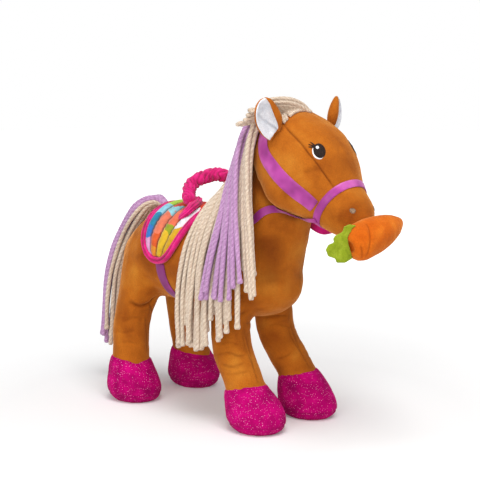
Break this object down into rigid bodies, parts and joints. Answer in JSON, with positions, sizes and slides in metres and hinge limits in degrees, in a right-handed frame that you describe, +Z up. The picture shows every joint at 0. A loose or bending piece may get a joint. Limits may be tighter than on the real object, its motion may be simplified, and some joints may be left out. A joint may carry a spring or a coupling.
{
  "type": "plush horse",
  "caption": "Stuffed plush horse standing on its feet, with a yarn mane and tail, a satin bridle, a quilted saddle with a padded carry handle, and a soft carrot at its mouth",
  "frame": {"origin": "on the floor, under the middle of the part's outer box", "axes": "+Z up, the nose towards +X, the horse's left side at +Y"},
  "size_m": [0.4196, 0.1416, 0.332],
  "materials": {
    "plush": "short-pile brown plush",
    "hoof_cloth": "magenta glitter cloth",
    "satin": "orchid satin ribbon",
    "piping_cloth": "hot pink matt cloth",
    "saddle_print": "quilted cloth printed in bright patches",
    "lining_cloth": "pale short-pile cloth",
    "cream_yarn": "cream brushed yarn",
    "lilac_yarn": "lilac brushed yarn",
    "stuffing": "white fibre filling",
    "eye_thread": "dark brown satin stitch",
    "nostril_thread": "grey satin stitch",
    "carrot_cloth": "orange short-pile plush",
    "leaf_cloth": "yellow-green felt"
  },
  "bodies": {
    "horse": {"torso": "plush", "neck": "plush", "head": "plush", "leg_front_left": "plush", "leg_front_right": "plush", "leg_rear_left": "plush", "leg_rear_right": "plush", "hoof_front_left": "hoof_cloth", "hoof_front_right": "hoof_cloth", "hoof_rear_left": "hoof_cloth", "hoof_rear_right": "hoof_cloth", "sole_front_left": "hoof_cloth", "sole_front_right": "hoof_cloth", "sole_rear_left": "hoof_cloth", "sole_rear_right": "hoof_cloth", "stuffing_torso": "stuffing", "stuffing_neck": "stuffing", "stuffing_head": "stuffing", "stuffing_leg_front_left": "stuffing", "stuffing_leg_front_right": "stuffing", "stuffing_leg_rear_left": "stuffing", "stuffing_leg_rear_right": "stuffing", "eye_left": "eye_thread", "eye_right": "eye_thread", "nostril_left": "nostril_thread", "nostril_right": "nostril_thread", "headstall": "satin", "noseband": "satin", "reins": "satin", "saddle_lining": "lining_cloth", "saddle_pad": "saddle_print", "saddle_piping": "piping_cloth", "girth": "satin", "handle_tuck_right": "piping_cloth", "handle_tuck_left": "piping_cloth", "mane_tape": "plush", "crown_tuft": "cream_yarn"},
    "ear_left": {"ear_left": "plush", "ear_lining_left": "lining_cloth"},
    "ear_right": {"ear_right": "plush", "ear_lining_right": "lining_cloth"},
    "handle": {"handle_sleeve": "piping_cloth", "handle_core": "stuffing"},
    "tail_root": {"tail_knot": "plush"},
    "tail": {"tail_lilac": "lilac_yarn", "tail_cream": "cream_yarn"},
    "mane": {"mane_rear": "cream_yarn", "mane_middle": "cream_yarn", "mane_front": "cream_yarn", "mane_lilac": "lilac_yarn"},
    "carrot": {"carrot": "carrot_cloth", "stuffing_carrot": "stuffing", "carrot_leaf": "leaf_cloth"}
  },
  "joints": [
    {"name": "ear_left_fold", "type": "hinge", "parent": "horse", "child": "ear_left", "pos_m": [0.09619, 0.03951, 0.29662], "axis": [-0.3543, 0.4545, -0.8173], "range_deg": [-35, 35], "stiffness_Nm_per_rad": 0.01},
    {"name": "ear_right_fold", "type": "hinge", "parent": "horse", "child": "ear_right", "pos_m": [0.09619, -0.03857, 0.29662], "axis": [0.3543, 0.4545, 0.8173], "range_deg": [0, 35], "stiffness_Nm_per_rad": 0.01},
    {"name": "handle_fold", "type": "hinge", "parent": "horse", "child": "handle", "pos_m": [-0.03778, -0.02648, 0.221], "axis": [0, 0.9958, -0.0921], "range_deg": [-20, 60], "stiffness_Nm_per_rad": 0.03},
    {"name": "tail_lift", "type": "hinge", "parent": "horse", "child": "tail_root", "pos_m": [-0.10828, 0.00047, 0.21261], "axis": [0, 1, 0], "range_deg": [0, 75]},
    {"name": "tail_swing", "type": "hinge", "parent": "tail_root", "child": "tail", "pos_m": [-0.10828, 0.00047, 0.21261], "axis": [0, 0, 1], "range_deg": [-30, 30]},
    {"name": "mane_lift", "type": "hinge", "parent": "horse", "child": "mane", "pos_m": [0.03672, -0.00759, 0.25406], "axis": [-0.4262, -0.0165, -0.9045], "range_deg": [0, 22]},
    {"name": "carrot_pull", "type": "slide", "parent": "horse", "child": "carrot", "axis": [1, 0, 0], "range_m": [0, 0.06]}
  ]
}
